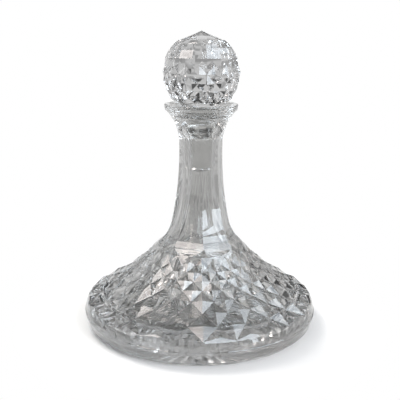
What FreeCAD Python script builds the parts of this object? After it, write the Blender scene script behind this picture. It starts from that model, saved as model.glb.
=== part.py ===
import FreeCAD, Part
import math
import os

# A ship's decanter of cut lead glass: a broad hollow body and a loose ball stopper.
# Millimetres, +Z up, origin at the centre of the ring that the body stands on.
# Turns are in degrees, counted from the front (-Y) towards +X.

# Foot and rim of the body
foot_radius = 93.0        # outer edge of the flat ring on the table
foot_ring_width = 5.0     # flat ring outside the star
rim_overhang = 5.0        # how far the rim stands out past the foot
rim_height = 10.0         # height of the widest part
shoulder_inset = 10.0     # the rounded shoulder ends this far inside the widest part
shoulder_rise = 17.0      # and this far above it

# Skirt and neck, two lines that sag towards the axis and meet at the bend
skirt_hollow = 4.6
bend_radius = 25.3
bend_height = 80.0
bend_fillet = 22.0
neck_hollow = 2.3
waist_radius = 17.8       # narrowest part, just under the lip
waist_height = 153.0

# Lip
lip_radius = 30.0
lip_height = 184.0
lip_band_height = 4.5     # upright outer band
lip_band_slant = 0.6      # the band leans out by this much
lip_edge = 0.8            # rounding of the upper edge
lip_hollow = 2.8
dish_radius = 27.4        # mouth of the dish that the stopper's ball stands over
dish_depth = 9.0
dish_hollow = 2.2

# Glass thickness and the hollow
floor_thickness = 8.5
skirt_wall = 5.5          # from the uncut outside to the hollow
rim_wall = 17.0           # clear glass round the rim, through which the star shows
heel_width = 14.7         # rounding from the floor to the side of the hollow
bend_wall = 6.5
bore_hollow = 2.6

# Diamonds cut in the skirt
diamonds_round = 24
diamond_turn = 1.75       # turn of the first lowest point
diamond_tallness = 1.08   # height of a diamond over its width
diamond_start = 10.0      # outline length from the widest part up to the lowest points
diamond_steepness = 0.2   # groove depth over half a diamond's width
scallop_rise = 3.3        # uncut glass rises this far between the lowest points
rim_segments = 5          # straight pieces from one lowest point to the next
ring_inset = 0.05         # keeps the straight pieces just inside the round rim and neck

# Flutes, the long flat panels round the neck
flutes = 8
flute_turn = 27.25        # turn of the middle of the first flute
flute_drop = 14.0         # the flutes end this far below the bend
flute_foot_hollow = 1.6
flute_rise = 10.0         # and this far above the waist
flute_top_hollow = 1.0

# Star of radial cuts in the underside
star_rays = 60
star_depth = 2.2          # valley depth at the outer end
star_relief = 0.5         # ridges stay this far above the table

# Ground seat and plug
plug_top_radius = 12.3
plug_tip_radius = 8.8
plug_length = 45.0
plug_edge = 0.8           # bevel round the plug's tip
seat_clearance = 0.05     # all round between plug and seat
seat_overrun = 2.0        # the seat goes on below the plug's tip

# Ball of the stopper
ball_radius = 31.3
ball_lift = 25.0          # height of the ball's centre above the lip
ball_underside = 34.0     # the lower half is a little longer than a ball's
ball_panels = 16
ball_turn = -3.0          # turn of the middle of the first panel
panel_tilts = [38.0, 22.0]  # where the panels bend, in degrees above the ball's middle
panel_foot_tilt = 12.5
stone_step = 12.0         # degrees of latitude from one row of crossings to the next
stone_rows = 4
stone_steepness = 0.2     # groove depth over half a stone's width
point_radius = 17.5       # low point on top
point_height = 7.1
point_lift = 25.2         # height of the low point's foot above the ball's centre
shank_radius = 11.8       # short waist between the ball and the plug
shank_bevel = 1.5
underside_radius = 14.0   # the ball's underside ends here, on the shank
shank_drop = 29.0         # and this far below the ball's centre


def place(radius, height, turn=90.0):
    """Point at a radius, a height and a turn; a turn of 90 lies in the plane of the outlines."""
    angle = math.radians(turn)
    return FreeCAD.Vector(radius * math.sin(angle), -radius * math.cos(angle), height)


def sagging(low, high, hollow):
    """Arc between two points of an outline, pulled towards the axis by hollow."""
    run = high - low
    inward = FreeCAD.Vector(-run.z, 0, run.x).normalize()
    return Part.Arc(low, (low + high) * 0.5 + inward * hollow, high).toShape()


def rim_arc(inset, rise):
    """Arc from the widest part to a point inset and raised from it, upright where it starts."""
    radius = (inset ** 2 + rise ** 2) / (2 * inset)
    swing = math.asin(rise / radius)
    centre = place(rim_radius - radius, rim_height)
    ends = [centre + FreeCAD.Vector(math.cos(a), 0, math.sin(a)) * radius for a in (0, swing / 2, swing)]
    return Part.Arc(*ends).toShape()


def polyline(points):
    """Edges that join the points in order."""
    return [Part.LineSegment(a, b).toShape() for a, b in zip(points, points[1:])]


def spun(edges):
    """Solid turned round the axis from a closed outline."""
    outline = Part.Wire(Part.__sortEdges__(edges))
    return Part.Face(outline).revolve(FreeCAD.Vector(0, 0, 0), FreeCAD.Vector(0, 0, 1), 360)


def facet(*corners):
    """Flat face with the given corners."""
    return Part.Face(Part.makePolygon(list(corners) + [corners[0]]))


def faceted_solid(faces):
    """Solid enclosed by flat faces."""
    shell = Part.makeShell(faces)
    shell.sewShape()
    return Part.makeSolid(shell)


def level_edges(solid, point):
    """Level edges of a solid at the height of a point and no further out than it."""
    slack = 0.01
    return [e for e in solid.Edges if e.BoundBox.ZMax - e.BoundBox.ZMin < slack
            and abs(e.BoundBox.ZMin - point.z) < slack and e.BoundBox.XMax < point.x + slack]


rim_radius = foot_radius + rim_overhang
skirt_foot = place(rim_radius - shoulder_inset, rim_height + shoulder_rise)
bend = place(bend_radius, bend_height)
waist = place(waist_radius, waist_height)
band_foot = place(lip_radius - lip_band_slant, lip_height - lip_band_height)
flute_foot_height = bend_height - flute_drop
flute_top_height = waist_height + flute_rise

shoulder_edge = rim_arc(shoulder_inset, shoulder_rise)
skirt_edge = sagging(skirt_foot, bend, skirt_hollow)
neck_edge = sagging(bend, waist, neck_hollow)
flare_edge = sagging(waist, band_foot, lip_hollow)

# The outline from the widest part to the waist, as closely spaced points
samples_per_mm = 40
side = Part.Wire([shoulder_edge, skirt_edge, neck_edge])
side_points = side.discretize(Number=int(side.Length * samples_per_mm))
flare_points = flare_edge.discretize(Number=int(flare_edge.Length * samples_per_mm))


def side_point(length):
    """Point of the outline at a length along it from the widest part."""
    return side_points[int(round(length / side.Length * (len(side_points) - 1)))]


def radius_at(points, height):
    """Radius of a sampled line at a height."""
    return min(points, key=lambda p: abs(p.z - height)).x


def lowered(length, depth):
    """Point of the outline at a length along it, sunk into the glass by depth."""
    point = side_point(length)
    run = side_point(length + 1.0) - side_point(length - 1.0)
    inward = FreeCAD.Vector(-run.z, 0, run.x).normalize()
    return point + inward * depth


def turned(point, turn):
    """Outline point carried round the axis to a turn."""
    return place(point.x, point.z, turn)


# Outline lengths of the rows where the diamonds' grooves cross
half_pitch = 180.0 / diamonds_round
row_lengths = [diamond_start]
while True:
    here = side_point(row_lengths[-1])
    following = row_lengths[-1] + diamond_tallness * math.radians(half_pitch) * here.x
    if side_point(following).z > flute_foot_height:
        break
    row_lengths.append(following)
top_row = len(row_lengths) - 1


def ring(row):
    """Round line through the uncut points of a row, as short straight pieces."""
    level = side_point(row_lengths[row])
    start = diamond_turn + half_pitch * (row % 2)
    count = diamonds_round * rim_segments
    return [place(level.x - ring_inset, level.z, start + 360.0 * i / count) for i in range(count)]


low_ring = ring(0)
high_ring = ring(top_row)


def crossing(row, half_turns):
    """Point where two grooves cross, counted round in halves of a diamond; the end rows are uncut."""
    if row in (0, top_row):
        line = low_ring if row == 0 else high_ring
        return line[(half_turns - row % 2) // 2 * rim_segments % len(line)]
    depth = diamond_steepness * math.radians(half_pitch) * side_point(row_lengths[row]).x
    return turned(lowered(row_lengths[row], depth), diamond_turn + half_pitch * half_turns)


def fan(tip, line, first):
    """Narrow faces from a tip to the pieces of a round line between two crossings."""
    corners = [line[(first + i) % len(line)] for i in range(rim_segments + 1)]
    return [facet(tip, a, b) for a, b in zip(corners, corners[1:])]


def diamond(row, half_turns):
    """Four-sided pyramid whose corners are the crossings round it and whose peak is uncut."""
    peak = turned(side_point(row_lengths[row]), diamond_turn + half_pitch * half_turns)
    around = [crossing(row - 1, half_turns), crossing(row, half_turns + 1),
              crossing(row + 1, half_turns), crossing(row, half_turns - 1)]
    return [facet(peak, a, b) for a, b in zip(around, around[1:] + around[:1])]


def diamond_skirt():
    """The cut part of the skirt, from the lowest points up to the foot of the neck."""
    faces = [facet(*low_ring), facet(*high_ring)]
    for column in range(diamonds_round):
        odd = 2 * column + 1
        scallop = turned(side_point(diamond_start + scallop_rise), diamond_turn + half_pitch * odd)
        faces += fan(scallop, low_ring, column * rim_segments)
        faces += [facet(scallop, crossing(0, odd + 1), crossing(1, odd))]
        faces += [facet(scallop, crossing(1, odd), crossing(0, odd - 1))]
        for row in range(1, top_row):
            faces += diamond(row, 2 * column + 1 - row % 2)
        under = 2 * column + 1 + top_row % 2
        faces += fan(crossing(top_row - 1, under), high_ring, column * rim_segments)
    return faceted_solid(faces)


def rim_solid():
    """Smooth foot, rim and lower shoulder, up to the lowest points of the diamonds."""
    top = side_point(diamond_start)
    edges = [rim_arc(rim_overhang, -rim_height)]
    lower = Part.Arc(shoulder_edge.valueAt(shoulder_edge.FirstParameter),
                     side_point(diamond_start / 2), top).toShape()
    edges.append(lower)
    edges += polyline([top, place(0, top.z), place(0, 0), place(foot_radius, 0)])
    return spun(edges)


def neck_solid():
    """Smooth top of the skirt, neck and lip, before the flutes are cut."""
    start = side_point(row_lengths[top_row])
    middle = side_point((row_lengths[top_row] + shoulder_edge.Length + skirt_edge.Length) / 2)
    skirt_top = Part.Arc(start, middle, bend).toShape()
    band_top = place(lip_radius, lip_height - lip_edge)
    edge_end = place(lip_radius - lip_edge, lip_height)
    slack = lip_edge * (1 - math.sqrt(0.5))
    edge = Part.Arc(band_top, place(lip_radius - slack, lip_height - slack), edge_end).toShape()
    edges = [skirt_top, neck_edge, flare_edge, edge]
    edges += polyline([band_foot, band_top])
    edges += polyline([edge_end, place(0, lip_height), place(0, start.z), start])
    solid = spun(edges)
    return solid.makeFillet(bend_fillet, level_edges(solid, bend))


def flute_cutters():
    """Blocks whose inner sides, flat across and curved along, leave the flutes round the neck."""
    across = math.cos(math.pi / flutes)
    foot = place(radius_at(side_points, flute_foot_height), flute_foot_height)
    low = place(bend_radius * across, bend_height)
    high = place(waist_radius * across, waist_height)
    top = place(radius_at(flare_points, flute_top_height), flute_top_height)
    outside = foot_radius
    inner = [sagging(foot, low, flute_foot_hollow), sagging(low, high, neck_hollow * across),
             sagging(high, top, flute_top_hollow)]
    outer = polyline([top, place(outside, flute_top_height), place(outside, flute_foot_height), foot])
    section = Part.Face(Part.Wire(Part.__sortEdges__(inner + outer)))
    width = 2 * foot.x
    block = section.extrude(FreeCAD.Vector(0, width, 0))
    block.translate(FreeCAD.Vector(0, -width / 2, 0))
    block = block.makeFillet(bend_fillet, level_edges(block, low))
    cutters = []
    for number in range(flutes):
        cutter = block.copy()
        cutter.rotate(FreeCAD.Vector(0, 0, 0), FreeCAD.Vector(0, 0, 1), flute_turn - 90 + 360.0 * number / flutes)
        cutters.append(cutter)
    return cutters


def star_cutter():
    """Shallow star of radial V cuts whose flat sides all meet at the middle of the underside."""
    below = -1.0
    radius = foot_radius - foot_ring_width
    step = 360.0 / star_rays
    middle = place(0, star_relief)
    high, low = [], []
    for number in range(star_rays):
        high += [place(radius, star_relief, step * number), place(radius, star_depth, step * (number + 0.5))]
        low += [place(radius, below, step * number), place(radius, below, step * (number + 0.5))]
    faces = [facet(*low)]
    for number in range(len(high)):
        following = (number + 1) % len(high)
        faces.append(facet(middle, high[number], high[following]))
        faces.append(facet(high[number], high[following], low[following], low[number]))
    return faceted_solid(faces)


seat_top_height = lip_height - dish_depth
plug_tip_height = seat_top_height - plug_length
seat_slope = (plug_top_radius - plug_tip_radius) / plug_length


def seat_radius(height):
    """Radius of the plug at a height, carried on past its tip."""
    return plug_tip_radius + seat_slope * (height - plug_tip_height)


def hollow_solid():
    """Space inside the body: broad floor, skirt, throat, ground seat and dished mouth."""
    run = bend - skirt_foot
    inward = FreeCAD.Vector(-run.z, 0, run.x).normalize()
    side_foot = skirt_foot + inward * skirt_wall
    side_top = place(bend_radius - bend_wall, bend_height)
    heel_radius = rim_radius - rim_wall
    heel_middle = place(heel_radius, (floor_thickness + side_foot.z) / 2)
    floor_edge = place(heel_radius - heel_width, floor_thickness)
    seat_foot_height = plug_tip_height - seat_overrun
    seat_foot = place(seat_radius(seat_foot_height) + seat_clearance, seat_foot_height)
    seat_top = place(plug_top_radius + seat_clearance, seat_top_height)
    dish_edge = place(dish_radius, lip_height)
    heel = Part.Arc(floor_edge, heel_middle, side_foot).toShape()
    edges = [heel, sagging(side_foot, side_top, skirt_hollow), sagging(side_top, seat_foot, bore_hollow),
             sagging(seat_top, dish_edge, -dish_hollow)]
    edges += polyline([seat_foot, seat_top])
    edges += polyline([dish_edge, place(0, lip_height), place(0, floor_thickness), floor_edge])
    return spun(edges)


def decanter_body():
    """One piece of blown glass, cut outside and underneath and ground in the neck."""
    neck = neck_solid()
    for cutter in flute_cutters():
        neck = neck.cut(cutter)
    body = rim_solid().fuse([diamond_skirt(), neck])
    return body.cut(hollow_solid()).cut(star_cutter())


ball_height = lip_height + ball_lift
half_panel = 180.0 / ball_panels
stone_depth = stone_steepness * math.radians(half_panel) * ball_radius


def ball_place(radius, height, half_turns):
    """Point of the ball, counted round in halves of a panel; panels and their middles take turns."""
    return place(radius, height, ball_turn + half_panel * half_turns)


def stone_crossing(row, half_turns):
    """Point where two grooves cross, counted in rows down from the ball's middle."""
    tilt = math.radians(stone_step * row)
    height = ball_height - (ball_underside - stone_depth) * math.sin(tilt)
    return ball_place((ball_radius - stone_depth) * math.cos(tilt), height, half_turns)


def panel_corner(tilt, half_turns):
    """Point of the ridge between two panels at a tilt above the ball's middle."""
    angle = math.radians(tilt)
    return ball_place(ball_radius * math.cos(angle), ball_height + ball_radius * math.sin(angle), half_turns)


def panel_foot(half_turns):
    """Top corner of the uppermost stone, in the flat of the panel over it."""
    upper = panel_corner(panel_tilts[-1], 0)
    lower = stone_crossing(0, 0)
    height = ball_height + ball_radius * math.sin(math.radians(panel_foot_tilt))
    share = (height - lower.z) / (upper.z - lower.z)
    ridge = math.hypot(lower.x, lower.y) * (1 - share) + math.hypot(upper.x, upper.y) * share
    return ball_place(ridge * math.cos(math.radians(half_panel)), height, half_turns)


def panel(half_turns):
    """One long panel from the top point down to the inverted V over its stone."""
    left, right = half_turns - 1, half_turns + 1
    point = FreeCAD.Vector(0, 0, ball_height + point_lift + point_height)
    lines = [[ball_place(point_radius, ball_height + point_lift, side) for side in (left, right)]]
    lines += [[panel_corner(tilt, side) for side in (left, right)] for tilt in panel_tilts]
    faces = [facet(point, *lines[0])]
    for upper, lower in zip(lines, lines[1:]):
        faces.append(facet(upper[0], upper[1], lower[1], lower[0]))
    last = lines[-1]
    faces.append(facet(last[0], last[1], stone_crossing(0, right), panel_foot(half_turns), stone_crossing(0, left)))
    return faces


def stone(row, half_turns):
    """Four-sided pyramid of the ball, like the diamonds of the skirt."""
    tilt = math.radians(stone_step * row)
    height = ball_height - ball_underside * math.sin(tilt)
    peak = ball_place(ball_radius * math.cos(tilt), height, half_turns)
    over = stone_crossing(row - 1, half_turns) if row > 0 else panel_foot(half_turns)
    around = [over, stone_crossing(row, half_turns + 1),
              stone_crossing(row + 1, half_turns), stone_crossing(row, half_turns - 1)]
    return [facet(peak, a, b) for a, b in zip(around, around[1:] + around[:1])]


def ball_solid():
    """Cut ball: long panels above, rows of stones below, and a plain underside."""
    foot_height = ball_height - shank_drop
    last = stone_rows % 2 + 1
    faces = [facet(*[ball_place(underside_radius, foot_height, 2 * i + last) for i in range(ball_panels)])]
    for number in range(ball_panels):
        faces += panel(2 * number)
        for row in range(stone_rows):
            faces += stone(row, 2 * number + row % 2)
        left, right = 2 * number + last, 2 * number + last + 2
        corners = [stone_crossing(stone_rows, left), stone_crossing(stone_rows, right)]
        faces.append(facet(stone_crossing(stone_rows - 1, left + 1), *corners))
        foot = [ball_place(underside_radius, foot_height, side) for side in (right, left)]
        faces.append(facet(*corners, *foot))
    return faceted_solid(faces)


def plug_solid():
    """Ground plug and the short shank that carries the ball."""
    bevelled = plug_tip_height + plug_edge
    corners = [place(0, plug_tip_height), place(seat_radius(bevelled) - plug_edge, plug_tip_height),
               place(seat_radius(bevelled), bevelled), place(plug_top_radius, seat_top_height),
               place(shank_radius, seat_top_height + shank_bevel), place(shank_radius, ball_height),
               place(0, ball_height)]
    return spun(polyline(corners + corners[:1]))


def stopper():
    """One solid piece of glass: cut ball, shank and ground plug."""
    return ball_solid().fuse(plug_solid())


os.makedirs("parts", exist_ok=True)
for name, shape in (("decanter_body", decanter_body()), ("stopper", stopper())):
    solid = shape.Solids[0]
    print(name, "valid", solid.isValid(), "solids", len(shape.Solids), "faces", len(solid.Faces),
          "volume in ml", round(solid.Volume / 1000, 1))
    solid.exportStep("parts/" + name + ".step")
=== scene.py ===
import math

import bpy
import numpy as np
from bpy.props import FloatProperty, FloatVectorProperty, IntProperty, PointerProperty
from mathutils import Matrix, Vector


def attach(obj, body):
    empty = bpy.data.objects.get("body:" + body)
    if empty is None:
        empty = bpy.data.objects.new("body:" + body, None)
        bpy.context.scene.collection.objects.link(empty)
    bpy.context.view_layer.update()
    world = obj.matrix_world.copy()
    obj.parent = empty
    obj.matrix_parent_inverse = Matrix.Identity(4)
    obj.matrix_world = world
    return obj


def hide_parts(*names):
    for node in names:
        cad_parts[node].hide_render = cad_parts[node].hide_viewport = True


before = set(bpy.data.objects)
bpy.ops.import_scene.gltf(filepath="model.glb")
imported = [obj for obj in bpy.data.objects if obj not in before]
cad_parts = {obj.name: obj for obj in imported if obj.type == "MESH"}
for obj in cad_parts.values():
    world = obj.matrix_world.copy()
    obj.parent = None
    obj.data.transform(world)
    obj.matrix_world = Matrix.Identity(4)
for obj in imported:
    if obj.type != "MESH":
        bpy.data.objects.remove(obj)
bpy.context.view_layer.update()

bl_info = {
    "name": "Cut glass ship's decanter",
    "version": (1, 0, 0),
    "blender": (4, 5, 0),
    "location": "View3D > Sidebar > Decanter",
    "description": "Builds the cut glass surfaces, the crystal finish and the studio of a ship's decanter",
    "category": "Object",
}


class BodyShape(bpy.types.PropertyGroup):
    """Sizes of the blown and cut body, in metres above the table and out from the axis."""

    foot_radius: FloatProperty(
        name="Foot radius", description="Outer edge of the ring on the table", default=0.093, unit="LENGTH")
    star_radius: FloatProperty(
        name="Star radius", description="Outer end of the star's rays", default=0.088, unit="LENGTH")
    star_depth: FloatProperty(
        name="Star depth", description="Depth of the rays at their outer end", default=0.0016, unit="LENGTH")
    star_relief: FloatProperty(
        name="Star relief", description="Height of the star's ridges above the table", default=0.0005, unit="LENGTH")
    star_rays: IntProperty(name="Star rays", description="Radial cuts in the underside", default=60)
    rim_overhang: FloatProperty(
        name="Rim overhang", description="How far the rim stands out past the foot", default=0.005, unit="LENGTH")
    rim_height: FloatProperty(
        name="Rim height", description="Height of the widest part", default=0.010, unit="LENGTH")
    rim_band: FloatProperty(
        name="Rim band", description="Upright band above the widest part", default=0.0021, unit="LENGTH")
    rim_step: FloatProperty(
        name="Rim step", description="The shoulder starts this far inside and above the band", default=0.0004,
        unit="LENGTH")
    foot_bevel: FloatProperty(
        name="Foot bevel", description="Height of the bevel round the foot", default=0.0032, unit="LENGTH")
    shoulder_inset: FloatProperty(
        name="Shoulder inset", description="The shoulder ends this far inside the rim", default=0.010, unit="LENGTH")
    shoulder_rise: FloatProperty(
        name="Shoulder rise", description="The shoulder ends this far above the rim", default=0.017, unit="LENGTH")
    skirt_hollow: FloatProperty(
        name="Skirt hollow", description="Sag of the skirt's line towards the axis", default=0.0046, unit="LENGTH")
    bend_radius: FloatProperty(
        name="Bend radius", description="Radius where skirt and neck meet", default=0.0253, unit="LENGTH")
    bend_height: FloatProperty(
        name="Bend height", description="Height where skirt and neck meet", default=0.080, unit="LENGTH")
    bend_ease: FloatProperty(
        name="Bend ease", description="Length over which the bend is eased on each side", default=0.007, unit="LENGTH")
    neck_hollow: FloatProperty(
        name="Neck hollow", description="Sag of the neck's line towards the axis", default=0.0023, unit="LENGTH")
    waist_radius: FloatProperty(
        name="Waist radius", description="Narrowest part, under the lip", default=0.0178, unit="LENGTH")
    waist_height: FloatProperty(
        name="Waist height", description="Height of the narrowest part", default=0.153, unit="LENGTH")
    lip_radius: FloatProperty(name="Lip radius", description="Outer edge of the lip", default=0.030, unit="LENGTH")
    lip_height: FloatProperty(name="Lip height", description="Top of the lip", default=0.184, unit="LENGTH")
    lip_band: FloatProperty(
        name="Lip band", description="Height of the upright band round the lip", default=0.0045, unit="LENGTH")
    lip_slant: FloatProperty(
        name="Lip slant", description="How far the band leans out", default=0.0006, unit="LENGTH")
    lip_edge: FloatProperty(
        name="Lip edge", description="Rounding of the lip's upper edge", default=0.0008, unit="LENGTH")
    lip_hollow: FloatProperty(
        name="Lip hollow", description="Sag of the flare under the lip", default=0.0028, unit="LENGTH")
    dish_radius: FloatProperty(
        name="Dish radius", description="Mouth of the dish inside the lip", default=0.0274, unit="LENGTH")
    dish_depth: FloatProperty(
        name="Dish depth", description="Depth of the dish down to the seat", default=0.009, unit="LENGTH")
    dish_hollow: FloatProperty(
        name="Dish hollow", description="How far the dish's line bulges down", default=0.0022, unit="LENGTH")
    floor_thickness: FloatProperty(
        name="Floor", description="Glass under the hollow", default=0.0085, unit="LENGTH")
    skirt_wall: FloatProperty(
        name="Skirt wall", description="Glass in the skirt, before cutting", default=0.0055, unit="LENGTH")
    rim_wall: FloatProperty(name="Rim wall", description="Glass at the rim", default=0.017, unit="LENGTH")
    heel_width: FloatProperty(
        name="Heel width", description="Rounding from the floor to the side", default=0.0147, unit="LENGTH")
    heel_ease: FloatProperty(
        name="Heel ease", description="Length over which the heel's upper edge is eased", default=0.009, unit="LENGTH")
    bend_wall: FloatProperty(
        name="Bend wall", description="Glass where skirt and neck meet", default=0.0065, unit="LENGTH")
    bore_hollow: FloatProperty(
        name="Bore hollow", description="Sag of the throat's line", default=0.0026, unit="LENGTH")
    diamonds: IntProperty(name="Diamonds", description="Diamonds round the skirt", default=24)
    diamond_turn: FloatProperty(
        name="Diamond turn", description="Turn of the first lowest point from the front", default=math.radians(1.75),
        subtype="ANGLE")
    diamond_tallness: FloatProperty(name="Diamond tallness", description="Height over width", default=1.08)
    diamond_start: FloatProperty(
        name="Diamond start", description="Outline length from the rim to the lowest points", default=0.0104,
        unit="LENGTH")
    diamond_steepness: FloatProperty(
        name="Diamond steepness", description="Groove depth over half a diamond's width", default=0.2)
    scallop_rise: FloatProperty(
        name="Scallop rise", description="Uncut glass rises this far between the lowest points", default=0.0033,
        unit="LENGTH")
    flutes: IntProperty(name="Flutes", description="Long flat panels round the neck", default=8)
    flute_turn: FloatProperty(
        name="Flute turn", description="Turn of a ridge between two flutes", default=math.radians(4.75),
        subtype="ANGLE")
    flute_foot_height: FloatProperty(
        name="Flute foot", description="Height of the flutes' lower ends", default=0.066, unit="LENGTH")
    flute_foot_hollow: FloatProperty(
        name="Flute foot hollow", description="Sag of the flutes' lower ends", default=0.0016, unit="LENGTH")
    flute_top_height: FloatProperty(
        name="Flute top", description="Height of the flutes' upper ends", default=0.163, unit="LENGTH")
    flute_top_hollow: FloatProperty(
        name="Flute top hollow", description="Sag of the flutes' upper ends", default=0.001, unit="LENGTH")


class StopperShape(bpy.types.PropertyGroup):
    """Sizes of the solid stopper, in metres."""

    plug_top_radius: FloatProperty(
        name="Plug top radius", description="Ground plug at the top", default=0.0123, unit="LENGTH")
    plug_tip_radius: FloatProperty(
        name="Plug tip radius", description="Ground plug at its tip", default=0.0088, unit="LENGTH")
    plug_length: FloatProperty(name="Plug length", description="Length of the plug", default=0.045, unit="LENGTH")
    plug_edge: FloatProperty(
        name="Plug edge", description="Bevel round the plug's tip", default=0.0008, unit="LENGTH")
    seat_clearance: FloatProperty(
        name="Seat clearance", description="Gap between plug and seat", default=0.00005, unit="LENGTH")
    seat_overrun: FloatProperty(
        name="Seat overrun", description="The seat goes on below the plug's tip", default=0.002, unit="LENGTH")
    ball_radius: FloatProperty(name="Ball radius", description="Radius of the ball", default=0.0313, unit="LENGTH")
    ball_lift: FloatProperty(
        name="Ball lift", description="Height of the ball's middle above the lip", default=0.025, unit="LENGTH")
    ball_underside: FloatProperty(
        name="Ball underside", description="Half height of the ball's lower half", default=0.034, unit="LENGTH")
    panels: IntProperty(name="Panels", description="Long panels round the ball", default=16)
    ball_turn: FloatProperty(
        name="Ball turn", description="Turn of the first panel's middle", default=math.radians(-3.0),
        subtype="ANGLE")
    panel_low_tilt: FloatProperty(
        name="Panel low tilt", description="Where the panels turn flat", default=math.radians(22.0),
        subtype="ANGLE")
    panel_foot_tilt: FloatProperty(
        name="Panel foot tilt", description="Top of the uppermost stones", default=math.radians(12.5),
        subtype="ANGLE")
    stone_step: FloatProperty(
        name="Stone step", description="Latitude from one row of crossings to the next", default=math.radians(12.0),
        subtype="ANGLE")
    stone_rows: IntProperty(name="Stone rows", description="Rows of cut stones under the panels", default=4)
    stone_steepness: FloatProperty(
        name="Stone steepness", description="Groove depth over half a stone's width", default=0.2)
    point_radius: FloatProperty(
        name="Point radius", description="Foot of the low point", default=0.0175, unit="LENGTH")
    point_height: FloatProperty(
        name="Point height", description="Height of the low point", default=0.0071, unit="LENGTH")
    point_lift: FloatProperty(
        name="Point lift", description="Foot of the low point above the ball's middle", default=0.0252,
        unit="LENGTH")
    shank_radius: FloatProperty(
        name="Shank radius", description="Waist between ball and plug", default=0.0118, unit="LENGTH")
    shank_bevel: FloatProperty(
        name="Shank bevel", description="Slope between shank and plug", default=0.0015, unit="LENGTH")
    underside_radius: FloatProperty(
        name="Underside radius", description="Foot of the ball on its shank", default=0.014, unit="LENGTH")
    shank_drop: FloatProperty(
        name="Shank drop", description="Foot of the ball under its middle", default=0.029, unit="LENGTH")


class GlassLook(bpy.types.PropertyGroup):
    """Finish of the lead crystal, and the painted grey shade that stands in for the room seen through it."""

    # Painted shade: the grey of these colours stands in for the grey room seen through the crystal; the glass itself
    # is clear
    body_painted_shade: FloatVectorProperty(
        name="Body painted shade", description="Share of light left after going in and out of the cut side", subtype="COLOR",
        size=3, min=0.0, max=1.0, default=(0.50, 0.50, 0.495))
    inside_painted_shade: FloatVectorProperty(
        name="Inside painted shade", description="The same for the side of the hollow", subtype="COLOR",
        size=3, min=0.0, max=1.0, default=(0.80, 0.80, 0.79))
    ground_painted_shade: FloatVectorProperty(
        name="Ground painted shade", description="The same for a ground surface", subtype="COLOR",
        size=3, min=0.0, max=1.0, default=(0.90, 0.90, 0.89))
    stopper_painted_shade: FloatVectorProperty(
        name="Stopper painted shade", description="The same for the solid stopper", subtype="COLOR", size=3, min=0.0, max=1.0,
        default=(0.52, 0.52, 0.52))
    ior: FloatProperty(name="Index of refraction", description="Bending power of lead crystal", default=1.55)
    polish: FloatProperty(name="Polish", description="Roughness of the polished cuts", default=0.0)
    frost: FloatProperty(name="Frost", description="Roughness of the ground seat and plug", default=0.06)
    waviness: FloatProperty(
        name="Waviness", description="Height of the polishing waves", default=0.00001, unit="LENGTH")


class StageSettings(bpy.types.PropertyGroup):
    """Camera, floor and lamps."""

    camera_distance: FloatProperty(
        name="Camera distance", description="In front of the axis", default=0.5545, unit="LENGTH")
    camera_height: FloatProperty(
        name="Camera height", description="Above the table", default=0.2418, unit="LENGTH")
    camera_pitch: FloatProperty(
        name="Camera pitch", description="Looking down by this angle", default=math.radians(14.0), subtype="ANGLE")
    camera_roll: FloatProperty(
        name="Camera roll", description="Lean of the picture", default=math.radians(0.45), subtype="ANGLE")
    focal_pixels: FloatProperty(name="Focal length", description="In pixels of the photo", default=682.2)
    photo_pixels: IntProperty(name="Photo width", description="Pixels across the photo", default=400)
    axis_pixels: FloatProperty(
        name="Axis offset", description="Pixels from the picture's middle to the axis", default=0.47)
    floor_colour: FloatVectorProperty(
        name="Floor colour", description="Plain pale floor", subtype="COLOR", size=3, min=0.0, max=1.0,
        default=(0.93, 0.93, 0.93))
    floor_size: FloatProperty(name="Floor size", description="Half width of the floor", default=3.0, unit="LENGTH")
    floor_mottle: FloatProperty(
        name="Floor mottle", description="How much darker the far floor is in places, seen through glass",
        default=0.42)
    shadow_start: FloatProperty(
        name="Shadow start", description="From this far out the floor fades to plain white", default=0.10,
        unit="LENGTH")
    shadow_end: FloatProperty(
        name="Shadow end", description="From this far out the floor is plain white", default=0.16, unit="LENGTH")
    room_grey: FloatProperty(name="Room", description="Brightness of the room round the stage", default=0.55)


CUT, GROUND, INSIDE = range(3)

# Points along the fine lines that the rings are taken from
FINE_POINTS, INSIDE_POINTS, EASE_POINTS, INSIDE_EASE_POINTS = 600, 60, 24, 12
# Rings along the shoulder, the lip's rounded edge, the flare, the dish, the hollow and the ball's panels
SHOULDER_RINGS, EDGE_RINGS, FLARE_RINGS, DISH_RINGS, HOLLOW_RINGS, PANEL_RINGS = 9, 8, 16, 14, 58, 14
# Height between two rings where the flutes end, and along the neck
CLOSE_RINGS, NECK_RINGS = 0.0005, 0.003
BODY_TURNS = 360
PLUG_TURNS = 6  # points round the plug for each panel of the ball


def sagging(low, high, hollow, count):
    """Points (radius, height) of an arc: the chord from low to high, pulled towards the axis by hollow.

    With half chord c and sag s the arc's radius is (c * c + s * s) / (2 * s), and its points lie at
    angles from -asin(c / radius) to asin(c / radius) about its middle.
    """
    low, high = np.array(low), np.array(high)
    chord = high - low
    length = np.hypot(*chord)
    along = chord / length
    inward = np.array([-along[1], along[0]])
    radius = (length ** 2 / 4 + hollow ** 2) / (2 * hollow)
    half = np.arcsin(length / 2 / radius)
    angle = np.linspace(-half, half, count)[:, None]
    return (low + high) / 2 + along * radius * np.sin(angle) + inward * (radius * np.cos(angle) - radius + hollow)


def upright_arc(start, inset, rise, count):
    """Points of the arc that leaves a point upright and ends inset from it and raised above it."""
    radius = (inset ** 2 + rise ** 2) / (2 * inset)
    angle = np.linspace(0, np.arcsin(rise / radius), count)
    return np.array(start) + np.stack([radius * np.cos(angle) - radius, radius * np.sin(angle)], axis=1)


def joined(*lines):
    """Several lines of points as one, with the shared ends kept once."""
    return np.concatenate([lines[0]] + [line[1:] for line in lines[1:]])


def lengths(line):
    """Length along a line up to each of its points."""
    return np.concatenate([[0.0], np.cumsum(np.hypot(*np.diff(line, axis=0).T))])


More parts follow.
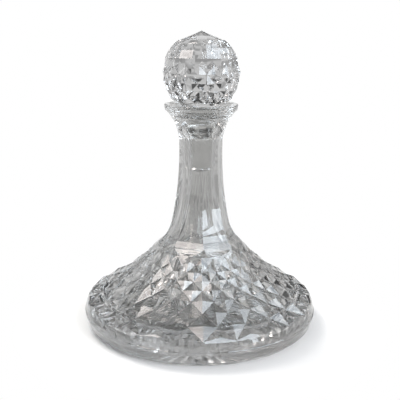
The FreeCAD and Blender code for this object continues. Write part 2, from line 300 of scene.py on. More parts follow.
def at_length(line, where):
    """Points of a line at lengths along it."""
    run = lengths(line)
    return np.stack([np.interp(where, run, line[:, 0]), np.interp(where, run, line[:, 1])], axis=-1)


def eased(before, after, ease, count):
    """Two lines that meet at a corner, joined by a parabola that leaves and reaches them ease away from it."""
    corner = before[-1]
    start = at_length(before, lengths(before)[-1] - ease)
    end = at_length(after, ease)
    t = np.linspace(0, 1, count)[:, None]
    curve = (1 - t) ** 2 * start + 2 * t * (1 - t) * corner + t ** 2 * end
    kept_before = before[lengths(before) < lengths(before)[-1] - ease]
    kept_after = after[lengths(after) > ease]
    return np.concatenate([kept_before, curve, kept_after])


def around(line, turns):
    """Points of a line carried round the axis: x = r sin(turn), y = -r cos(turn), z = height.

    The line's radii and heights and the turns are arrays that go together, or one row of turns for each point.
    """
    radius, height = line[..., 0], line[..., 1]
    return np.stack([radius * np.sin(turns), -radius * np.cos(turns), height + 0 * turns], axis=-1)


def through(start, middle, end, count):
    """Points of the circular arc from start to end through middle.

    The circle's centre is equally far from all three: 2 (b - a) . c = b.b - a.a, and the same for the third.
    """
    a, b, c = (np.array(p) for p in (start, middle, end))
    centre = np.linalg.solve(np.array([b - a, c - b]), np.array([b @ b - a @ a, c @ c - b @ b]) / 2)
    angles = np.unwrap([math.atan2(*(p - centre)[::-1]) for p in (a, b, c)])
    angle = np.linspace(angles[0], angles[2], count)
    return centre + np.hypot(*(a - centre)) * np.stack([np.cos(angle), np.sin(angle)], axis=1)


def thinned(line, steps):
    """A finely sampled line as a number of even steps."""
    return at_length(line, np.linspace(0, lengths(line)[-1], steps + 1))


class Surface:
    """Vertices and faces of one closed piece, gathered block by block.

    Rings of points run towards growing turns. They go up the outside of the piece, or from the underside's
    middle outwards, or down the inside, so that the faces between them all look outwards.
    """

    def __init__(self):
        self.points, self.faces, self.smooth, self.finish = [], [], [], []
        self.count = 0

    def add(self, points):
        """Adds an array of points and gives back their numbers, in the array's own shape."""
        numbers = self.count + np.arange(points[..., 0].size).reshape(points.shape[:-1])
        self.points.append(points.reshape(-1, 3))
        self.count += numbers.size
        return numbers

    def close(self, *corners, smooth=False, finish=CUT):
        """Adds one face for each entry of the corner arrays, which go round it against the clock."""
        faces = np.stack(np.broadcast_arrays(*corners), axis=-1).reshape(-1, len(corners))
        self.faces.append(faces)
        self.smooth.append(np.full(len(faces), smooth))
        self.finish.append(np.full(len(faces), finish))

    def bands(self, rings, finish=CUT):
        """Smooth four-sided faces between rings."""
        ahead = np.roll(rings, -1, axis=1)
        self.close(rings[:-1], ahead[:-1], ahead[1:], rings[1:], smooth=True, finish=finish)

    def mesh(self, name, sharp_angle):
        """The Blender mesh, with a crease wherever faces meet at more than the angle."""
        points = np.concatenate(self.points)
        sides = np.concatenate([np.full(len(faces), faces.shape[1]) for faces in self.faces])
        corners = np.concatenate([faces.ravel() for faces in self.faces])
        mesh = bpy.data.meshes.new(name)
        mesh.vertices.add(len(points))
        mesh.vertices.foreach_set("co", points.ravel())
        mesh.loops.add(len(corners))
        mesh.loops.foreach_set("vertex_index", corners)
        mesh.polygons.add(len(sides))
        mesh.polygons.foreach_set("loop_start", np.concatenate([[0], np.cumsum(sides)[:-1]]))
        mesh.polygons.foreach_set("use_smooth", np.concatenate(self.smooth))
        mesh.polygons.foreach_set("material_index", np.concatenate(self.finish))
        mesh.update(calc_edges=True)
        if mesh.validate():
            raise RuntimeError(name + " has broken faces")
        mesh.set_sharp_from_angle(angle=sharp_angle)
        return mesh


def body_lines(shape):
    """Outside lines of the body as (radius, height) points: side, blank neck, flute, and the foot's arc."""
    widest = shape.foot_radius + shape.rim_overhang
    skirt_foot = (widest - shape.shoulder_inset, shape.rim_height + shape.shoulder_rise)
    bend = (shape.bend_radius, shape.bend_height)
    waist = (shape.waist_radius, shape.waist_height)
    band_foot = (shape.lip_radius - shape.lip_slant, shape.lip_height - shape.lip_band)
    rim = (widest, shape.rim_height)
    foot_arc = upright_arc(rim, shape.rim_overhang, -shape.rim_height, FINE_POINTS)[::-1]
    bevel_top = (np.interp(shape.foot_bevel, foot_arc[:, 1], foot_arc[:, 0]), shape.foot_bevel)
    step = (widest - shape.rim_step, shape.rim_height + shape.rim_band + shape.rim_step)
    band = np.array([rim, (widest, shape.rim_height + shape.rim_band), step])
    shoulder = upright_arc(step, step[0] - skirt_foot[0], skirt_foot[1] - step[1], FINE_POINTS)
    skirt = joined(band, shoulder, sagging(skirt_foot, bend, shape.skirt_hollow, FINE_POINTS))
    neck = sagging(bend, waist, shape.neck_hollow, FINE_POINTS)
    flare = sagging(waist, band_foot, shape.lip_hollow, FINE_POINTS)

    across = math.cos(math.pi / shape.flutes)
    foot = (np.interp(shape.flute_foot_height, skirt[:, 1], skirt[:, 0]), shape.flute_foot_height)
    top = (np.interp(shape.flute_top_height, flare[:, 1], flare[:, 0]), shape.flute_top_height)
    low = (shape.bend_radius * across, shape.bend_height)
    high = (shape.waist_radius * across, shape.waist_height)
    flute_foot = sagging(foot, low, shape.flute_foot_hollow, FINE_POINTS)
    flute_neck = sagging(low, high, shape.neck_hollow * across, FINE_POINTS)
    flute_top = sagging(high, top, shape.flute_top_hollow, FINE_POINTS)
    return {
        "foot": np.array([foot_arc[0], bevel_top, rim]),
        "side": skirt,
        "blank": joined(eased(skirt, neck, shape.bend_ease, EASE_POINTS), flare),
        "flute": joined(eased(flute_foot, flute_neck, shape.bend_ease, EASE_POINTS), flute_top),
    }


def inside_line(shape, stopper):
    """The body's inside as lines of (radius, height) points: dish, ground seat, hollow, floor."""
    widest = shape.foot_radius + shape.rim_overhang
    skirt_foot = np.array((widest - shape.shoulder_inset, shape.rim_height + shape.shoulder_rise))
    seat_top = (stopper.plug_top_radius + stopper.seat_clearance, shape.lip_height - shape.dish_depth)
    slope = (stopper.plug_top_radius - stopper.plug_tip_radius) / stopper.plug_length
    seat_length = stopper.plug_length + stopper.seat_overrun
    seat_foot = (seat_top[0] - slope * seat_length, seat_top[1] - seat_length)
    run = np.array((shape.bend_radius, shape.bend_height)) - skirt_foot
    inward = np.array([-run[1], run[0]]) / np.hypot(*run)
    side_foot = skirt_foot + inward * shape.skirt_wall
    side_top = (shape.bend_radius - shape.bend_wall, shape.bend_height)
    throat = sagging(side_top, seat_foot, shape.bore_hollow, INSIDE_POINTS)[::-1]
    skirt = sagging(side_foot, side_top, shape.skirt_hollow, INSIDE_POINTS)[::-1]
    heel_radius = widest - shape.rim_wall
    floor_edge = (heel_radius - shape.heel_width, shape.floor_thickness)
    heel_middle = (heel_radius, (shape.floor_thickness + side_foot[1]) / 2)
    heel = through(side_foot, heel_middle, floor_edge, INSIDE_POINTS)
    side = eased(throat, skirt, shape.bend_ease, INSIDE_EASE_POINTS)
    return {
        "dish": sagging(seat_top, (shape.dish_radius, shape.lip_height), -shape.dish_hollow, INSIDE_POINTS)[::-1],
        "seat": np.array([seat_top, seat_foot]),
        "hollow": eased(side, heel, shape.heel_ease, INSIDE_EASE_POINTS),
        "floor": np.array([floor_edge, (floor_edge[0] / 2, floor_edge[1])]),
    }


def star_ring(shape, turns):
    """Outer end of the underside's star: flat V cuts that all meet at the middle.

    Between a ridge and a valley the height grows with sin(turn from the ridge), as a plane through the
    middle does.
    """
    pitch = 2 * math.pi / shape.star_rays
    off = (turns - turns[0]) % pitch
    off = np.minimum(off, pitch - off)
    height = shape.star_relief + (shape.star_depth - shape.star_relief) * np.sin(off) / math.sin(pitch / 2)
    return around(np.stack([shape.star_radius + 0 * off, height], axis=-1), turns)


def cut_diamonds(surface, shape, side, low_ring):
    """Pyramids on the skirt, between the uncut ring under them and the one that is given back.

    Row k's crossings lie half a diamond round from row k - 1's and are sunk by the groove's depth. Each
    peak lies on the uncut outline, in the middle of its four crossings.
    """
    half = math.pi / shape.diamonds
    step = np.arange(shape.diamonds)
    rows = [shape.diamond_start]
    while at_length(side, rows[-1])[1] < shape.flute_foot_height:
        rows.append(rows[-1] + shape.diamond_tallness * half * at_length(side, rows[-1])[0])
    rows = np.array(rows[:-1])
    last = len(rows) - 1
    uncut = at_length(side, rows)
    probe = 0.001
    along = at_length(side, rows + probe) - at_length(side, rows - probe)
    inward = np.stack([-along[:, 1], along[:, 0]], axis=1) / np.hypot(*along.T)[:, None]
    sunk = uncut + inward * (shape.diamond_steepness * half * uncut[:, :1])
    turns = shape.diamond_turn + half * (2 * step + (np.arange(last + 1) % 2)[:, None])
    crossings = surface.add(around(sunk[:, None], turns)[1:last])
    peaks = surface.add(around(uncut[:, None], turns + half)[1:last])

    per = len(low_ring) // shape.diamonds
    high_turns = turns[last, 0] + 2 * math.pi * np.arange(len(low_ring)) / len(low_ring)
    high_ring = surface.add(around(uncut[last], high_turns))
    nodes = [low_ring[::per], *crossings, high_ring[::per]]
    for row in range(1, last):
        shift = -(row % 2)
        lower, upper = np.roll(nodes[row - 1], shift), np.roll(nodes[row + 1], shift)
        left, right = nodes[row], np.roll(nodes[row], -1)
        for a, b in ((lower, right), (right, upper), (upper, left), (left, lower)):
            surface.close(peaks[row - 1], a, b)

    scallop = at_length(side, shape.diamond_start + shape.scallop_rise)
    tips = surface.add(around(scallop, turns[0] + half))
    low, high = low_ring.reshape(-1, per), high_ring.reshape(-1, per)
    low_ahead = np.roll(low_ring, -1).reshape(-1, per)
    high_ahead = np.roll(high_ring, -1).reshape(-1, per)
    surface.close(low, low_ahead, tips[:, None], smooth=True)
    surface.close(tips, np.roll(nodes[0], -1), nodes[1])
    surface.close(nodes[0], tips, nodes[1])
    surface.close(high_ahead, high, np.roll(nodes[last - 1], -(last % 2))[:, None])
    return high_ring, high_turns, uncut[last, 1]


def fluted(lines, shape, heights, turns):
    """Neck surface: at each height the nearer of the blank's round section and the flat flutes.

    A flute at a distance from the axis has the radius distance / cos(turn from its middle).
    """
    blank = np.interp(heights, lines["blank"][:, 1], lines["blank"][:, 0])[:, None]
    flat = np.interp(heights, lines["flute"][:, 1], lines["flute"][:, 0], left=1.0, right=1.0)[:, None]
    half = math.pi / shape.flutes
    off = (turns - shape.flute_turn) % (2 * half) - half
    radius = np.minimum(blank, flat / np.cos(off))
    return around(np.stack([radius, heights[:, None] + 0 * radius], axis=-1), turns)


def body_surface(shape, stopper):
    """The whole body as one closed surface: underside, foot, rim, diamonds, neck, lip, dish, seat and hollow."""
    surface = Surface()
    lines = body_lines(shape)
    inside = inside_line(shape, stopper)
    turns = shape.diamond_turn + np.radians(np.arange(BODY_TURNS) * 360 / BODY_TURNS)
    middle = surface.add(np.array([0.0, 0.0, shape.star_relief]))
    star = surface.add(star_ring(shape, turns))
    surface.close(middle, np.roll(star, -1), star)

    slope_end = np.array([[(shape.star_radius * 3 + shape.foot_radius) / 4, 0.0]])
    band = lengths(lines["side"])[:3]
    shoulder = np.linspace(band[-1], shape.diamond_start, SHOULDER_RINGS)[1:]
    shoulder = at_length(lines["side"], np.concatenate([band, shoulder]))
    rim = joined(lines["foot"], shoulder)
    rim = surface.add(around(np.concatenate([slope_end, rim])[:, None], turns))
    surface.bands(np.concatenate([star[None], rim]))

    high_ring, turns, start = cut_diamonds(surface, shape, lines["side"], rim[-1])
    foot_end, top_start = shape.bend_height + shape.bend_ease, shape.waist_height
    band_foot = shape.lip_height - shape.lip_band
    heights = np.concatenate([
        np.arange(start, foot_end, CLOSE_RINGS)[1:], np.arange(foot_end, top_start, NECK_RINGS),
        np.arange(top_start, shape.flute_top_height + 3 * CLOSE_RINGS, CLOSE_RINGS),
        np.linspace(shape.flute_top_height + 4 * CLOSE_RINGS, band_foot, FLARE_RINGS)])
    neck = surface.add(fluted(lines, shape, heights, turns))
    angle = np.linspace(0, math.pi / 2, EDGE_RINGS)
    edge = np.stack([shape.lip_radius - shape.lip_edge * (1 - np.cos(angle)),
                     shape.lip_height - shape.lip_edge * (1 - np.sin(angle))], axis=1)
    lip = np.concatenate([edge, thinned(inside["dish"], DISH_RINGS)])
    lip = surface.add(around(lip[:, None], turns))
    surface.bands(np.concatenate([high_ring[None], neck, lip[:len(edge)]]))
    surface.bands(lip[len(edge) - 1:], finish=INSIDE)

    seat = surface.add(around(inside["seat"][1:, None], turns))
    surface.bands(np.concatenate([lip[-1:], seat]), finish=GROUND)
    hollow = joined(thinned(inside["hollow"], HOLLOW_RINGS)[1:], inside["floor"])
    hollow = surface.add(around(hollow[:, None], turns))
    surface.bands(np.concatenate([seat, hollow]), finish=INSIDE)
    middle = surface.add(np.array([0.0, 0.0, shape.floor_thickness]))
    surface.close(hollow[-1], np.roll(hollow[-1], -1), middle, smooth=True, finish=INSIDE)
    return surface


def stopper_surface(shape, body):
    """The stopper as one closed surface: ground plug, shank, and the ball with its stones and panels."""
    surface = Surface()
    count, half = shape.panels, math.pi / shape.panels
    per = PLUG_TURNS
    seat_height = body.lip_height - body.dish_depth
    middle_height = body.lip_height + shape.ball_lift
    tip_height = seat_height - shape.plug_length
    slope = (shape.plug_top_radius - shape.plug_tip_radius) / shape.plug_length
    bevel_radius = shape.plug_tip_radius + slope * shape.plug_edge
    foot_height = middle_height - shape.shank_drop
    turns = shape.ball_turn + half * (1 + shape.stone_rows % 2 + 2 * np.arange(count * per) / per)
    plug = np.array([(bevel_radius - shape.plug_edge, tip_height), (bevel_radius, tip_height + shape.plug_edge),
                     (shape.plug_top_radius, seat_height)])
    plug = surface.add(around(plug[:, None], turns))
    middle = surface.add(np.array([0.0, 0.0, tip_height]))
    surface.close(middle, np.roll(plug[0], -1), plug[0], finish=GROUND)
    surface.bands(plug, finish=GROUND)
    shank = np.array([(shape.shank_radius, seat_height + shape.shank_bevel), (shape.shank_radius, foot_height)])
    shank = surface.add(around(shank[:, None], turns))
    surface.bands(np.concatenate([plug[-1:], shank]))

    depth = shape.stone_steepness * half * shape.ball_radius
    row = np.arange(shape.stone_rows + 1)
    tilt = shape.stone_step * row
    step = 2 * np.arange(count)

    def level(radius, height, halves):
        """Points round the ball at turns counted in halves of a panel."""
        return around(np.stack(np.broadcast_arrays(radius, height), axis=-1), shape.ball_turn + half * halves)

    odd = 1 + step + (row % 2)[:, None]
    sunk_radius = (shape.ball_radius - depth) * np.cos(tilt)
    sunk_height = middle_height - (shape.ball_underside - depth) * np.sin(tilt)
    crossings = surface.add(level(sunk_radius[:, None], sunk_height[:, None], odd))
    peaks = surface.add(level((shape.ball_radius * np.cos(tilt))[:-1, None],
                              (middle_height - shape.ball_underside * np.sin(tilt))[:-1, None], odd[:-1] + 1))

    low = shape.panel_low_tilt
    panel_tilts = np.linspace(low, math.acos(shape.point_radius / shape.ball_radius), PANEL_RINGS)[:-1]
    ridge_radius = shape.ball_radius * np.cos(panel_tilts)
    ridge_height = middle_height + shape.ball_radius * np.sin(panel_tilts)
    line = np.stack([np.append(ridge_radius, shape.point_radius),
                     np.append(ridge_height, middle_height + shape.point_lift)], axis=1)
    ridges = surface.add(level(line[:, :1], line[:, 1:], 1 + step))
    surface.bands(ridges)
    point = surface.add(np.array([0.0, 0.0, middle_height + shape.point_lift + shape.point_height]))
    surface.close(ridges[-1], np.roll(ridges[-1], -1), point)

    foot_tilt_height = middle_height + shape.ball_radius * math.sin(shape.panel_foot_tilt)
    share = (foot_tilt_height - sunk_height[0]) / (line[0, 1] - sunk_height[0])
    foot_radius = (sunk_radius[0] * (1 - share) + line[0, 0] * share) * math.cos(half)
    feet = surface.add(level(foot_radius, foot_tilt_height, 2 + step))
    left, right = crossings[0], np.roll(crossings[0], -1)
    top_left, top_right = ridges[0], np.roll(ridges[0], -1)
    surface.close(top_right, top_left, feet, smooth=True)
    surface.close(top_left, left, feet, smooth=True)
    surface.close(top_right, feet, right, smooth=True)

    for k in row[:-1]:
        over = feet if k == 0 else np.roll(crossings[k - 1], -(k % 2))
        under = np.roll(crossings[k + 1], -(k % 2))
        left, right = crossings[k], np.roll(crossings[k], -1)
        for a, b in ((under, right), (right, over), (over, left), (left, under)):
            surface.close(peaks[k], a, b)

    last = shape.stone_rows
    left, right = crossings[last], np.roll(crossings[last], -1)
    surface.close(np.roll(crossings[last - 1], -(last % 2)), left, right)
    corners = level(shape.underside_radius, foot_height, odd[last])[:, None]
    share = np.arange(per)[:, None] / per
    polygon = corners * (1 - share) + np.roll(corners, -1, axis=0) * share
    polygon = surface.add(polygon.reshape(-1, 3))
    surface.bands(np.stack([shank[-1], polygon]))
    surface.close(left[:, None], polygon.reshape(-1, per), np.roll(polygon, -1).reshape(-1, per))
    surface.close(left, np.roll(polygon[::per], -1), right)
    return surface


def group(name, inputs, outputs):
    """A shader node group with its sockets, each given as (name, type, value)."""
    tree = bpy.data.node_groups.new(name, "ShaderNodeTree")
    for direction, sockets in (("INPUT", inputs), ("OUTPUT", outputs)):
        for socket_name, kind, value in sockets:
            socket = tree.interface.new_socket(socket_name, in_out=direction, socket_type="NodeSocket" + kind)
            if value is not None:
                socket.default_value = value
    return tree, tree.nodes.new("NodeGroupInput"), tree.nodes.new("NodeGroupOutput")


def combined(tree, operation, *values):
    """Output of a math node whose inputs are sockets or numbers."""
    node = tree.nodes.new("ShaderNodeMath")
    node.operation = operation
    for entry, value in zip(node.inputs, values):
        if isinstance(value, (int, float)):
            entry.default_value = value
        else:
            tree.links.new(value, entry)
    return node.outputs[0]


def ranged(tree, value, low, high, to_low=0.0, to_high=1.0, smooth=False):
    """A result that goes from one value to another while the given value goes between two limits."""
    node = tree.nodes.new("ShaderNodeMapRange")
    node.interpolation_type = "SMOOTHSTEP" if smooth else "LINEAR"
    for entry, limit in zip(("From Min", "From Max", "To Min", "To Max"), (low, high, to_low, to_high)):
        node.inputs[entry].default_value = limit
    tree.links.new(value, node.inputs["Value"])
    return node.outputs["Result"]


def between(tree, value, low, high, soft):
    """1 where a value lies between two limits, with soft edges."""
    rise = ranged(tree, value, low, low + soft, smooth=True)
    return combined(tree, "MULTIPLY", rise, ranged(tree, value, high, high - soft, smooth=True))


def patch(tree, azimuth, elevation, limits, soft):
    """1 in a rectangle of directions: azimuths and elevations from and to, in degrees, with soft edges."""
    left, right, low, high = (math.radians(limit) for limit in limits)
    sides = between(tree, azimuth, left, right, soft)
    return combined(tree, "MULTIPLY", sides, between(tree, elevation, low, high, soft))


def noise(tree, place, scale, detail, seed=None):
    """Output of a noise pattern, which a seed moves along a fourth direction."""
    node = tree.nodes.new("ShaderNodeTexNoise")
    if seed is not None:
        node.noise_dimensions = "4D"
        node.inputs["W"].default_value = seed
    node.inputs["Scale"].default_value = scale
    node.inputs["Detail"].default_value = detail
    tree.links.new(place, node.inputs["Vector"])
    return node.outputs["Fac"]


WAVE_SCALE, SCUFF_SCALE = 90.0, 900.0
SCUFFED_BELOW, SCUFFED_FULLY = 0.0012, 0.0002  # heights above the table
SCUFF_ROUGHNESS = 0.5
RING_SCALE = (120.0, 120.0, 2500.0)
RING_ROUGHNESS, RING_HEIGHT = 0.12, 0.00002


def cut_finish_group(look):
    """Shared finish of cut crystal: slight waves left by polishing, and wear where the foot rubs the table.

    Object coordinates, so that the pattern stays with its piece. Gives a roughness and a bump height.
    """
    tree, entry, out = group(
        "Cut finish", [("Polish", "Float", look.polish), ("Waves", "Float", look.waviness)],
        [("Roughness", "Float", None), ("Height", "Float", None)])
    place = tree.nodes.new("ShaderNodeTexCoord").outputs["Object"]
    waves = noise(tree, place, WAVE_SCALE, 1.0)
    tree.links.new(combined(tree, "MULTIPLY", waves, entry.outputs["Waves"]), out.inputs["Height"])

    split = tree.nodes.new("ShaderNodeSeparateXYZ")
    tree.links.new(place, split.inputs[0])
    low = ranged(tree, split.outputs["Z"], SCUFFED_BELOW, SCUFFED_FULLY)
    wear = combined(tree, "MULTIPLY", low, noise(tree, place, SCUFF_SCALE, 4.0))
    rough = combined(tree, "MULTIPLY_ADD", wear, SCUFF_ROUGHNESS, entry.outputs["Polish"])
    tree.links.new(rough, out.inputs["Roughness"])
    return tree


def ground_finish_group(look):
    """Shared finish of the ground seat and plug: fine grain with faint rings from the lathe."""
    tree, entry, out = group(
        "Ground finish", [("Frost", "Float", look.frost)], [("Roughness", "Float", None), ("Height", "Float", None)])
    place = tree.nodes.new("ShaderNodeTexCoord").outputs["Object"]
    stretch = tree.nodes.new("ShaderNodeMapping")
    stretch.inputs["Scale"].default_value = RING_SCALE
    tree.links.new(place, stretch.inputs["Vector"])
    rings = noise(tree, stretch.outputs[0], 1.0, 3.0)
    rough = combined(tree, "MULTIPLY_ADD", rings, RING_ROUGHNESS, entry.outputs["Frost"])
    tree.links.new(rough, out.inputs["Roughness"])
    tree.links.new(combined(tree, "MULTIPLY", rings, RING_HEIGHT), out.inputs["Height"])
    return tree


def crystal_material(name, look, painted_shade, finish):
    """Clear lead crystal, greyed by a painted shade that stands in for the room seen through it, whose roughness and
    fine relief come from a shared finish group.
    """
    material = bpy.data.materials.new(name)
    material.use_nodes = True
    tree = material.node_tree
    shader = tree.nodes["Principled BSDF"]
    # Painted shade: this grey base colour darkens the clear crystal in place of the grey room seen through it
    shader.inputs["Base Color"].default_value = (*painted_shade, 1.0)
    shader.inputs["Metallic"].default_value = 0.0
    shader.inputs["IOR"].default_value = look.ior
    shader.inputs["Transmission Weight"].default_value = 1.0
    surface = tree.nodes.new("ShaderNodeGroup")
    surface.node_tree = finish
    bump = tree.nodes.new("ShaderNodeBump")
    tree.links.new(surface.outputs["Roughness"], shader.inputs["Roughness"])
    tree.links.new(surface.outputs["Height"], bump.inputs["Height"])
    tree.links.new(bump.outputs["Normal"], shader.inputs["Normal"])
    return material


def seen_rays(tree):
    """1 for rays that show the background: from the camera, off a gloss or through glass."""
    path = tree.nodes.new("ShaderNodeLightPath").outputs
    shiny = combined(tree, "MAXIMUM", path["Is Glossy Ray"], path["Is Transmission Ray"])
    return combined(tree, "MAXIMUM", path["Is Camera Ray"], shiny)


PIECES = ("Body", "Stopper")
CREASE = math.radians(15)  # faces that meet at more than this have a sharp edge


def show_piece(surface, name, body, node):
    """Makes the piece with its three finishes, lets it ride on its body and stand for its CAD node."""
    piece = bpy.data.objects.new(name + "_cut_glass", surface.mesh(name + "_cut_glass", CREASE))
    for finish in (" cut", " ground", " inside"):
        piece.data.materials.append(bpy.data.materials[name + finish])
    bpy.context.scene.collection.objects.link(piece)
    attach(piece, body)
    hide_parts(node)


class BuildCrystal(bpy.types.Operator):
    """Make the finishes of the cut and the ground glass."""

    bl_idname = "decanter.crystal"
    bl_label = "Crystal"

    def execute(self, context):
        look = context.scene.decanter_look
        cut, ground = cut_finish_group(look), ground_finish_group(look)
        # Each piece gets its painted grey shade for the cut side, the ground seat and plug, and the hollow
        for name, painted_shade in zip(PIECES, (look.body_painted_shade, look.stopper_painted_shade)):
            crystal_material(name + " cut", look, painted_shade, cut)
            crystal_material(name + " ground", look, look.ground_painted_shade, ground)
            crystal_material(name + " inside", look, look.inside_painted_shade, cut)
        return {"FINISHED"}


class BuildBody(bpy.types.Operator):
    """Make the body: star base, rim, diamonds, flutes, lip and hollow."""

    bl_idname = "decanter.body"
    bl_label = "Body"

    def execute(self, context):
        scene = context.scene
        surface = body_surface(scene.decanter_body, scene.decanter_stopper)
        show_piece(surface, "Body", "decanter", "decanter_body")
        return {"FINISHED"}


class BuildStopper(bpy.types.Operator):
    """Make the stopper: ball with panels and stones, shank and ground plug."""

    bl_idname = "decanter.stopper"
    bl_label = "Stopper"

    def execute(self, context):
        scene = context.scene
        surface = stopper_surface(scene.decanter_stopper, scene.decanter_body)
        show_piece(surface, "Stopper", "stopper", "stopper")
        return {"FINISHED"}


# Soft lamps: name, size, watts, colour, place; they all face one point on the axis
LAMPS = (
    ("Key softbox", 0.7, 17.0, (1.0, 0.98, 0.95), (-0.7, 0.7, 1.2)),
    ("Fill softbox", 0.9, 15.0, (0.93, 0.96, 1.0), (0.9, -0.8, 0.9)),
)
LAMP_TARGET = (0.0, 0.0, 0.12)
LIGHT_BOUNCES = 32

MOTTLE_SCALE, MOTTLE_RANGE = 10.0, (0.44, 0.56)  # pattern of the floor as seen through glass
ROOM_SCALE, ROOM_RANGE, ROOM_DARKEST = 3.5, (0.43, 0.57), 0.04
ROOM_SEED = 1.0
# White wall behind the object: azimuths from the back and elevations from and to, softness of the edges
WALL, WALL_SOFT = (-24, 24, -90, 14), 0.1
# Windows in the room: name, azimuths and elevations from and to, softness of the edges, colour, strength
COOL, WARM, PLAIN = (0.82, 0.91, 1.0), (1.0, 0.91, 0.87), (1.0, 1.0, 1.0)
WINDOWS = (
    ("Cool window", 5, 64, 25, 60, 1.0, COOL, 8.0),
    ("Left pane", 50, 54.05, 0, 27, 0.1, COOL, 8.0),
    ("Right pane", 54.4, 56.2, 0, 27, 0.1, COOL, 8.0),
    ("Side window", 63, 115, 36, 70, 1.0, COOL, 5.0),
    ("Warm window", -78, -43, 34, 74, 1.0, WARM, 7.0),
    ("Warm skylight", -130, -86, 66, 84, 1.0, WARM, 7.0),
    ("Right curtain", 62, 98, 8, 42, 2.0, PLAIN, 2.2),
    ("Left curtain", -98, -62, 8, 42, 2.0, PLAIN, 2.2),
)


def lamp(name, size, watts, colour, location):
    """A square soft lamp that lights the floor, without showing in the glass."""
    light = bpy.data.lights.new(name, "AREA")
    light.size = size
    light.energy = watts
    light.color = colour
    holder = bpy.data.objects.new(name, light)
    holder.location = location
    holder.rotation_euler = (Vector(LAMP_TARGET) - Vector(location)).to_track_quat("-Z", "Y").to_euler()
    holder.visible_glossy = holder.visible_transmission = False
    bpy.context.scene.collection.objects.link(holder)


def floor_material(settings):
    """Pale floor that keeps the shadow near the object and fades to plain white further out.

    Seen through glass, the white part is darker in places, which gives the cuts something to break up.
    """
    material = bpy.data.materials.new("Floor")
    material.use_nodes = True
    tree = material.node_tree
    shader = tree.nodes["Principled BSDF"]
    shader.inputs["Base Color"].default_value = (*settings.floor_colour, 1.0)
    shader.inputs["Roughness"].default_value = 1.0
    shader.inputs["Specular IOR Level"].default_value = 0.0
    white = tree.nodes.new("ShaderNodeEmission")
    place = tree.nodes.new("ShaderNodeTexCoord").outputs["Object"]
    mottle = noise(tree, place, MOTTLE_SCALE, 1.0)
    depth = ranged(tree, mottle, *MOTTLE_RANGE, to_high=settings.floor_mottle)
    path = tree.nodes.new("ShaderNodeLightPath")
    darker = combined(tree, "MULTIPLY", path.outputs["Is Transmission Ray"], depth)
    tree.links.new(combined(tree, "SUBTRACT", 1.0, darker), white.inputs["Strength"])
    distance = tree.nodes.new("ShaderNodeVectorMath")
    distance.operation = "LENGTH"
    tree.links.new(place, distance.inputs[0])
    fade = ranged(tree, distance.outputs["Value"], settings.shadow_start, settings.shadow_end, smooth=True)
    mix = tree.nodes.new("ShaderNodeMixShader")
    tree.links.new(combined(tree, "MULTIPLY", fade, seen_rays(tree)), mix.inputs["Fac"])
    tree.links.new(shader.outputs[0], mix.inputs[1])
    tree.links.new(white.outputs[0], mix.inputs[2])
    tree.links.new(mix.outputs[0], tree.nodes["Material Output"].inputs["Surface"])
    return material


def studio_world(settings):
    """The room round the stage, by the direction of a ray: azimuth from the front, elevation above the floor.

    The camera sees plain white. Glass sees the same white behind the object, a grey room elsewhere, and the
    bright windows that sparkle in the cuts. The windows give no light to the floor.
    """
    world = bpy.data.worlds.new("Studio")
    bpy.context.scene.world = world
    world.use_nodes = True
    tree = world.node_tree
    background = tree.nodes["Background"]
    place = tree.nodes.new("ShaderNodeTexCoord")
    split = tree.nodes.new("ShaderNodeSeparateXYZ")
    tree.links.new(place.outputs["Generated"], split.inputs[0])
    x, y, z = (split.outputs[axis] for axis in "XYZ")
    azimuth = combined(tree, "ARCTAN2", x, combined(tree, "MULTIPLY", y, -1.0))
    elevation = combined(tree, "ARCSINE", z)
    path = tree.nodes.new("ShaderNodeLightPath")
    not_diffuse = combined(tree, "SUBTRACT", 1.0, path.outputs["Is Diffuse Ray"])
    world.cycles.sampling_method = "NONE"
    behind = combined(tree, "ARCTAN2", x, y)
    wall = patch(tree, behind, elevation, WALL, WALL_SOFT)
    wall = combined(tree, "MAXIMUM", wall, path.outputs["Is Camera Ray"])
    furniture = noise(tree, place.outputs["Generated"], ROOM_SCALE, 2.0, ROOM_SEED)
    room = ranged(tree, furniture, *ROOM_RANGE, to_low=ROOM_DARKEST, to_high=2 * settings.room_grey)
    level = tree.nodes.new("ShaderNodeMix")
    level.data_type = "RGBA"
    tree.links.new(room, level.inputs["A"])
    level.inputs["B"].default_value = (1.0, 1.0, 1.0, 1.0)
    tree.links.new(wall, level.inputs["Factor"])
    total = level.outputs["Result"]
    for name, *limits, soft, colour, strength in WINDOWS:
        mask = patch(tree, azimuth, elevation, limits, math.radians(soft))
        mask = combined(tree, "MULTIPLY", mask, not_diffuse)
        light = tree.nodes.new("ShaderNodeVectorMath")
        light.operation = "MULTIPLY_ADD"
        light.label = name
        light.inputs[0].default_value = [channel * strength for channel in colour]
        tree.links.new(mask, light.inputs[1])
        tree.links.new(total, light.inputs[2])
        total = light.outputs[0]
    tree.links.new(total, background.inputs["Color"])


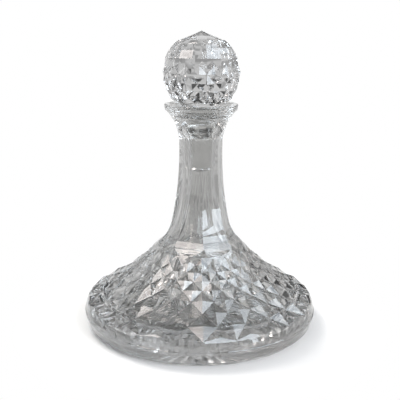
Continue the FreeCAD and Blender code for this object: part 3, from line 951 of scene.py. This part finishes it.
class BuildStage(bpy.types.Operator):
    """Make the camera at the photo's view, the pale floor, the room and the soft lamps."""

    bl_idname = "decanter.stage"
    bl_label = "Stage"

    def execute(self, context):
        scene = context.scene
        settings = scene.decanter_stage
        half = settings.floor_size
        mesh = bpy.data.meshes.new("floor")
        mesh.from_pydata([(-half, -half, 0), (half, -half, 0), (half, half, 0), (-half, half, 0)], [], [(0, 1, 2, 3)])
        mesh.materials.append(floor_material(settings))
        floor = bpy.data.objects.new("floor", mesh)
        scene.collection.objects.link(floor)
        studio_world(settings)
        for row in LAMPS:
            lamp(*row)

        data = bpy.data.cameras.new("Camera")
        data.sensor_width = 36.0
        data.lens = settings.focal_pixels / settings.photo_pixels * data.sensor_width
        data.shift_x = -settings.axis_pixels / settings.photo_pixels
        camera = bpy.data.objects.new("Camera", data)
        turn = Matrix.Rotation(math.pi / 2 - settings.camera_pitch, 4, "X")
        stand = Matrix.Translation((0.0, -settings.camera_distance, settings.camera_height))
        camera.matrix_world = stand @ turn @ Matrix.Rotation(settings.camera_roll, 4, "Z")
        scene.collection.objects.link(camera)
        scene.camera = camera
        scene.view_settings.view_transform = "Standard"
        for kind in ("max", "transmission", "glossy"):
            setattr(scene.cycles, kind + "_bounces", LIGHT_BOUNCES)
        scene.cycles.caustics_refractive = True
        scene.cycles.caustics_reflective = False
        scene.cycles.use_denoising = True
        return {"FINISHED"}


class DecanterPanel(bpy.types.Panel):
    """Lists the decanter's operators in the 3D view's sidebar."""

    bl_idname = "VIEW3D_PT_decanter"
    bl_label = "Decanter"
    bl_space_type = "VIEW_3D"
    bl_region_type = "UI"
    bl_category = "Decanter"

    def draw(self, context):
        for operator in OPERATORS:
            self.layout.operator(operator.bl_idname)


GROUPS = {
    "decanter_body": BodyShape, "decanter_stopper": StopperShape, "decanter_look": GlassLook,
    "decanter_stage": StageSettings,
}
OPERATORS = (BuildCrystal, BuildBody, BuildStopper, BuildStage)


def register():
    for cls in (*GROUPS.values(), *OPERATORS, DecanterPanel):
        bpy.utils.register_class(cls)
    for name, cls in GROUPS.items():
        setattr(bpy.types.Scene, name, PointerProperty(type=cls))


def unregister():
    for name in GROUPS:
        delattr(bpy.types.Scene, name)
    for cls in reversed((*GROUPS.values(), *OPERATORS, DecanterPanel)):
        bpy.utils.unregister_class(cls)


def main():
    """Builds everything."""
    register()
    bpy.ops.decanter.crystal()
    bpy.ops.decanter.body()
    bpy.ops.decanter.stopper()
    bpy.ops.decanter.stage()
    bpy.context.view_layer.update()


if __name__ == "__main__":
    main()
